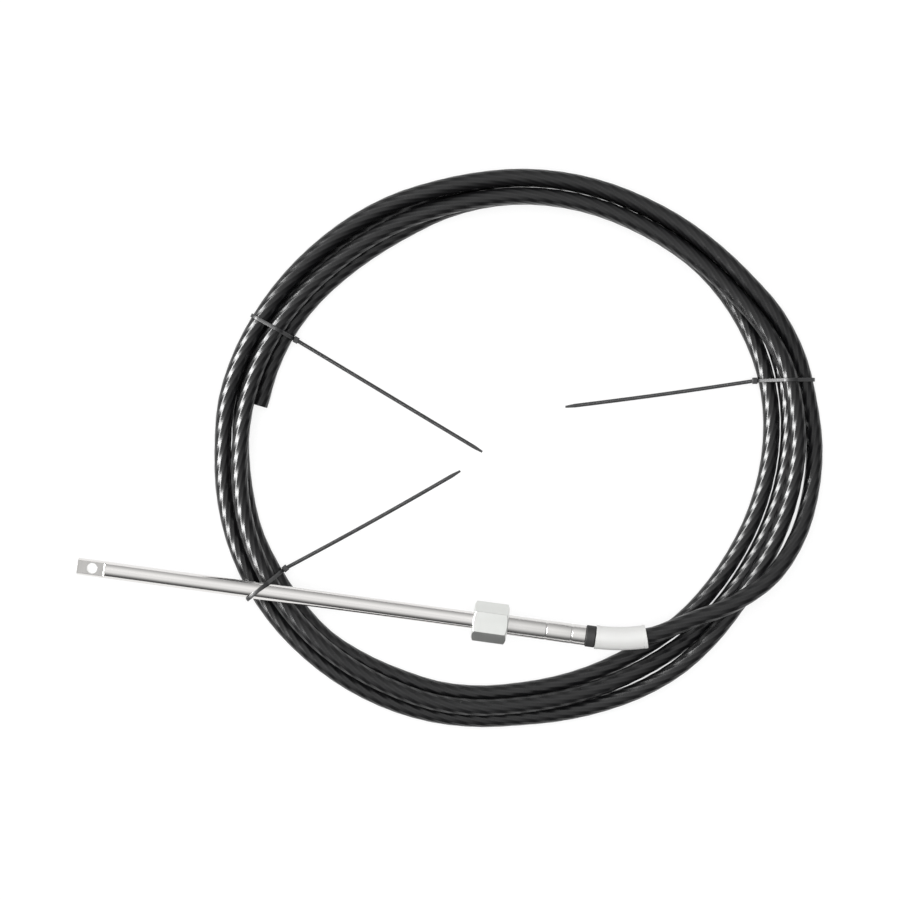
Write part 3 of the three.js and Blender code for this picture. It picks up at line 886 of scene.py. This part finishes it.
past_start = beyond(ram_finish.part("X") * -1.0, RAM_TO - EYE_FLAT_LENGTH - MILL_RUNOUT)
above_axis = math_node("ABSOLUTE", ram_finish.part("Z"))
milled = past_start * beyond(above_axis, EYE_THICK / 2 - MILLED_EDGE)
passes = ram_finish.grain(PASSES_PER_METRE, PASS_DETAIL, ACROSS_BAR)
ram_finish.feed("Base Color", ram_finish.colours(ram_finish.fed["Base Color"], MILLED_COLOUR, milled))
milled_roughness = ram_finish.between(*MILLED_ROUGHNESS, passes)
polished_roughness = ram_finish.fed["Roughness"]
ram_finish.feed("Roughness", ram_finish.between(polished_roughness, milled_roughness, milled))
print("The flats begin", round((RAM_TO - EYE_FLAT_LENGTH) / MM, 1), "mm from the sleeve")

# %% [markdown]
# ## Cable ties
# Each tie is drawn tight round the strands that it crosses. In its own upright plane a round strand is cut
# as an ellipse, and a tight band is the outline that a string round those ellipses would take: for each
# direction, the ellipse that reaches furthest. The head sits on the inner side of the coil, and the tail
# comes out of its slot and droops to the floor. Places are in millimetres and headings in degrees.

# %% Ties: what they cross and the outline of the band
TIES = [
    {"number": 1, "x": -226, "y": 109.7, "band": -29, "tail": -31, "length": 206, "bow": 0.0},
    {"number": 2, "x": -238.6, "y": -129.3, "band": 39.5, "tail": 29.1, "length": 190, "bow": -1.0},
    {"number": 3, "x": 252, "y": 63.3, "band": 181, "tail": 187.8, "length": 181, "bow": 0.8},
]
TIE_OVER_RAM = 2
TIE_REACH = 60 * MM
BAND_POINTS = 240
HEAD_TURN = 15
HEAD_HIGH, HEAD_WIDE, HEAD_LONG = 4.6 * MM, 6 * MM, 6.5 * MM


def tie_frame(tie):
    """The tie's point, the direction of its band and the direction across it."""
    heading = math.radians(tie["band"])
    along = Vector((math.cos(heading), math.sin(heading), 0))
    return Vector((tie["x"] * MM, tie["y"] * MM, 0)) + SHIFT, along, UP.cross(along)


def bar_section(tie, through, direction, bar_radius):
    """The ellipse that the tie's plane cuts from a bar: place, height, half width, half height."""
    middle, along, across = tie_frame(tie)
    square = abs(direction.dot(across))
    half = (bar_radius + abs(direction.dot(along)) * TIE_WIDTH / 2) / square
    rise = bar_radius + abs(direction.z) * TIE_WIDTH / 2 / square
    return (through - middle).dot(along), through.z, half, rise


def tie_sections(tie):
    """The ellipses of all the strands that the tie goes round, and of the ram where it lies under the tie."""
    middle, along, across = tie_frame(tie)
    sections = []
    for before, after in zip(cable_path, cable_path[1:]):
        from_side = (before - middle).dot(across)
        to_side = (after - middle).dot(across)
        at = before.lerp(after, from_side / (from_side - to_side))
        if from_side * to_side < 0 and abs((at - middle).dot(along)) < TIE_REACH:
            sections.append(bar_section(tie, at, (after - before).normalized(), CABLE_D / 2))
    if tie["number"] == TIE_OVER_RAM:
        run = (middle - FITTING_END).dot(across) / FITTING_AXIS.dot(across)
        sections.append(bar_section(tie, on_axis(run), FITTING_AXIS, RAM_OD / 2))
    return sections


def band_outline(sections, margin, points):
    """A tight loop round the sections, this far outside them, as (place, height) pairs."""
    outline = []
    for i in range(points):
        turn = math.tau * i / points
        nx, nz = math.cos(turn), math.sin(turn)
        reaches = []
        for place, height, half, rise in sections:
            wide, tall = half + margin, rise + margin
            reach = math.hypot(wide * nx, tall * nz)
            touch = (place + wide**2 * nx / reach, height + tall**2 * nz / reach)
            reaches.append((place * nx + height * nz + reach, touch))
        outline.append(max(reaches)[1])
    return outline


for tie in TIES:
    tie["sections"] = tie_sections(tie)
    print(f"Tie {tie['number']} goes round {len(tie['sections'])} bars")

# %% [markdown]
# The strap is one section swept along a line: a thin rectangle with round corners, whose wide side stays
# square to the plane of the tie. Its direction is set freely on the curve, because a loop that stands upright
# has no side that stays on top. The small teeth are instances, only where a length is left for them, and
# each is a block that is half sunk in the strap.

# %% The strap's tree
CORNER_SHARE, CORNER_POINTS = 0.34, 3
TOOTH_LONG, TOOTH_WIDE = 0.5, 0.62

strap = Shape(
    "Toothed strap", width="float", thickness="float", across="vector", teeth_from="float",
    teeth_to="float", tooth_pitch="float", tooth_height="float", finish="finish",
)
width, thickness = strap.size("width"), strap.size("thickness")
section_size = {"Width": width, "Height": thickness}
flat_section = strap.node("GeometryNodeCurvePrimitiveQuadrilateral", None, section_size)
corner = {0: flat_section, "Count": CORNER_POINTS, "Radius": thickness * CORNER_SHARE}
round_section = strap.node("GeometryNodeFilletCurve", {"mode": "POLY"}, corner)
strap_line = strap.node("GeometryNodeMeshToCurve", None, {0: strap.source})
facing_sockets = {0: strap_line, "Normal": strap.size("across")}
faced = strap.node("GeometryNodeSetCurveNormal", {"mode": "FREE"}, facing_sockets)
strap_girth = strap.node("GeometryNodeInputNamedAttribute", {"data_type": "FLOAT"}, {"Name": "girth"})
sweep = {0: faced, 1: round_section, "Scale": strap_girth, "Fill Caps": True}
band = strap.node("GeometryNodeCurveToMesh", None, sweep)
toothed_run = {0: faced, 4: strap.size("teeth_from"), 5: strap.size("teeth_to")}
toothed = strap.node("GeometryNodeTrimCurve", {"mode": "LENGTH"}, toothed_run)
spacing = {0: toothed, "Length": strap.size("tooth_pitch")}
tooth_places = strap.node("GeometryNodeCurveToPoints", {"mode": "LENGTH"}, spacing)
tooth_size = strap.node("ShaderNodeCombineXYZ", None, {
    0: strap.size("tooth_pitch") * TOOTH_LONG,
    1: width * TOOTH_WIDE,
    2: strap.size("tooth_height") * 2,
})
tooth_block = strap.node("GeometryNodeMeshCube", None, {"Size": tooth_size})
tooth_rise = strap.node("ShaderNodeCombineXYZ", None, {2: thickness / 2})
tooth = strap.node("GeometryNodeTransform", None, {0: tooth_block, "Translation": tooth_rise})
facing = strap.node(
    "FunctionNodeAxesToRotation", {"primary_axis": "X", "secondary_axis": "Y"},
    {"Primary Axis": tooth_places.out("Tangent"), "Secondary Axis": strap.size("across")},
)
placed = {0: tooth_places, "Instance": tooth, "Rotation": facing}
teeth = strap.node("GeometryNodeInstanceOnPoints", None, placed)
real_teeth = strap.node("GeometryNodeRealizeInstances", None, {0: teeth})
sharp_teeth = strap.node("GeometryNodeSetShadeSmooth", None, {0: real_teeth, "Shade Smooth": False})
both = strap.node("GeometryNodeJoinGeometry", None, {0: band})
strap.tree.links.new(sharp_teeth.socket, both.socket.node.inputs[0])
strap.end(both)
print("The strap's tree has", len(strap.tree.nodes), "nodes")

# %% [markdown]
# The head is a small block with a slot right through it, and the tail is in that slot. The tail narrows to
# its tip, droops as a free strip does, and bows a little to one side.

# %% Making the ties
TAIL_POINTS = 60
TIP_TAPER = 9 * MM
TIP_GIRTH = 0.55
TOOTH_PITCH, TOOTH_HEIGHT = 1.5 * MM, 0.14 * MM
TEETH_CLEAR = 16 * MM
SLOT_HIGH, SLOT_WIDE = 2.0 * MM, 4.4 * MM


def tail_line(start, heading, length, bow):
    """Points of the tail from inside the head to its tip on the floor, with its thickness at each."""
    along = Vector((math.cos(heading), math.sin(heading), 0))
    sideways = UP.cross(along)
    drop = start.z - TIE_THICK / 2
    points, girths = [], []
    for i in range(TAIL_POINTS + 1):
        share = i / TAIL_POINTS
        point = start + along * (length * share) + sideways * (bow * math.sin(math.pi * share))
        point.z = TIE_THICK / 2 + drop * (1 - share) ** 2
        points.append(point)
        to_tip = length * (1 - share)
        girths.append(TIP_GIRTH + (1 - TIP_GIRTH) * min(1, to_tip / TIP_TAPER))
    return points, girths


def tie_head(centre, along, across):
    """The head: a block with a slot along the band's direction for the tail."""
    block = bmesh.new()
    outer = [(-1, -1), (1, -1), (1, 1), (-1, 1)]
    loops = []
    for end in (-1, 1):
        for high, wide in ((HEAD_LONG, HEAD_WIDE), (SLOT_HIGH, SLOT_WIDE)):
            middle = centre + along * (end * HEAD_HIGH / 2)
            right, top = across * (wide / 2), UP * (high / 2)
            loops.append([block.verts.new(middle + right * w + top * h) for w, h in outer])
    near, near_slot, far, far_slot = loops
    for first, second in ((near, near_slot), (near_slot, far_slot), (far_slot, far), (far, near)):
        for i in range(len(outer)):
            j = (i + 1) % len(outer)
            block.faces.new((first[i], first[j], second[j], second[i]))
    bmesh.ops.recalc_face_normals(block, faces=block.faces)
    return block


def make_tie(tie):
    """Band, tail and head of one tie, joined into one piece."""
    middle, along, across = tie_frame(tie)
    outline = band_outline(tie["sections"], SEAT_GAP + TIE_THICK / 2, BAND_POINTS)
    seat_place, seat_height = outline[round(BAND_POINTS * HEAD_TURN / FULL_TURN)]
    head_centre = middle + along * (seat_place + HEAD_HIGH / 2) + UP * seat_height
    loop_points = [middle + along * place + UP * height for place, height in outline]
    sizes = {
        "width": TIE_WIDTH, "thickness": TIE_THICK, "tooth_pitch": TOOTH_PITCH,
        "tooth_height": TOOTH_HEIGHT, "finish": tie_finish.material,
    }
    name = f"tie_{tie['number']}"
    band_line = path_mesh(name + "_band", loop_points, closed=True)
    bare = {"teeth_from": 0.0, "teeth_to": 0.0}
    band_mesh = strap.mesh(name + "_band", band_line, across=across, **bare, **sizes)
    heading, length = math.radians(tie["tail"]), tie["length"] * MM
    points, girths = tail_line(head_centre, heading, length, tie["bow"] * MM)
    tail_across = UP.cross(Vector((math.cos(heading), math.sin(heading), 0)))
    tail_path = path_mesh(name + "_tail", points, girths)
    toothed = {"teeth_from": HEAD_HIGH, "teeth_to": length - TEETH_CLEAR}
    tail_mesh = strap.mesh(name + "_tail", tail_path, across=tail_across, **toothed, **sizes)
    head = bmesh_piece(name + "_head", tie_head(head_centre, along, across))
    soften(head, width=0.6 * MM, angle=60)
    softened = head.evaluated_get(bpy.context.evaluated_depsgraph_get())
    head_mesh = bpy.data.meshes.new_from_object(softened)
    bpy.data.objects.remove(head)
    whole = bmesh.new()
    for mesh in (band_mesh, tail_mesh, head_mesh):
        whole.from_mesh(mesh)
    piece = bmesh_piece(name, whole)
    dress(piece, tie_finish, "conduit", "black_nylon", f"cable_tie_{tie['number']}")


for tie in TIES:
    make_tie(tie)

# %% [markdown]
# ## Floor and light
# The floor is a light table: pale, and bright by itself, so the coil hardly shades it. The surround is soft.
# It is brightest overhead and dark low down in front, so the polished ram shows a light middle between a grey
# and a dark stripe.

# %% Floor
FLOOR_SIDE = 9.0
FLOOR_DROP = 0.2 * MM
FLOOR_PALE = 0.22
FLOOR_GLOW = 0.8

floor_shell = bmesh.new()
bmesh.ops.create_grid(floor_shell, x_segments=1, y_segments=1, size=FLOOR_SIDE / 2)
bmesh.ops.translate(floor_shell, verts=floor_shell.verts, vec=-UP * FLOOR_DROP)
floor = bmesh_piece("floor", floor_shell)
floor_finish = Finish("pale_floor", roughness=0.9, specular_ior_level=0.2, base_color=(*[FLOOR_PALE] * 3, 1))
floor_finish.shader.inputs["Emission Color"].default_value = (1, 1, 1, 1)
floor_finish.shader.inputs["Emission Strength"].default_value = FLOOR_GLOW
floor.data.materials.append(floor_finish.material)

# %% Surround
ZENITH, HORIZON, BACK, BACK_LIFT, FRONT = 0.92, 0.05, 0.36, 0.5, 0.6
FALL = 3.0

world = bpy.data.worlds.new("surround")
bpy.context.scene.world = world
world.use_nodes = True
sky = world.node_tree
background = next(node for node in sky.nodes if node.type == "BACKGROUND")
direction = add_node(sky, "ShaderNodeTexCoord").out("Generated")
parts = add_node(sky, "ShaderNodeSeparateXYZ", None, {"Vector": direction})
above = highest(parts.out("Z"), 0.0)
behind = highest(parts.out("Y"), 0.0)
in_front = highest(parts.out("Y") * -1.0, 0.0)
overhead = above**FALL * (ZENITH + in_front * FRONT)
glow = HORIZON + overhead + behind * (BACK + above * BACK_LIFT)
background.inputs["Color"].default_value = (1, 1, 1, 1)
sky.links.new(glow.socket, background.inputs["Strength"])
print("The surround's light goes from", HORIZON, "to", HORIZON + ZENITH)

# %% [markdown]
# Two lamps share the rest of the work. A long softbox on the left draws the dashes along the strands, and
# only reflections see it. A broad lamp straight overhead lights the white sleeve and the floor, and its
# shadows fall out of sight below the strands. Each would spoil the other's work, so each is kept out of it.

# %% Lamps
LAMPS = {
    "softbox": {"place": (-1.95, 0.1, 1.6), "size": (2.4, 0.95), "watts": 300, "unseen": "visible_diffuse"},
    "overhead": {"place": (0, 0, 4.2), "size": (3, 3), "watts": 110, "unseen": "visible_glossy"},
}


def add_lamp(name, place, size, watts, unseen):
    """A rectangular lamp that faces the coil and takes no part in one kind of ray."""
    light = bpy.data.lights.new(name, "AREA")
    light.shape = "RECTANGLE"
    light.size, light.size_y = size
    light.energy = watts
    lamp = bpy.data.objects.new(name, light)
    lamp.location = place
    lamp.rotation_euler = (-lamp.location).to_track_quat("-Z", "Y").to_euler()
    setattr(lamp, unseen, False)
    bpy.context.scene.collection.objects.link(lamp)
    print(f"The {name} stands {lamp.location.length:.2f} m away")


for name, settings in LAMPS.items():
    add_lamp(name, **settings)
bpy.context.scene.view_settings.view_transform = "Standard"
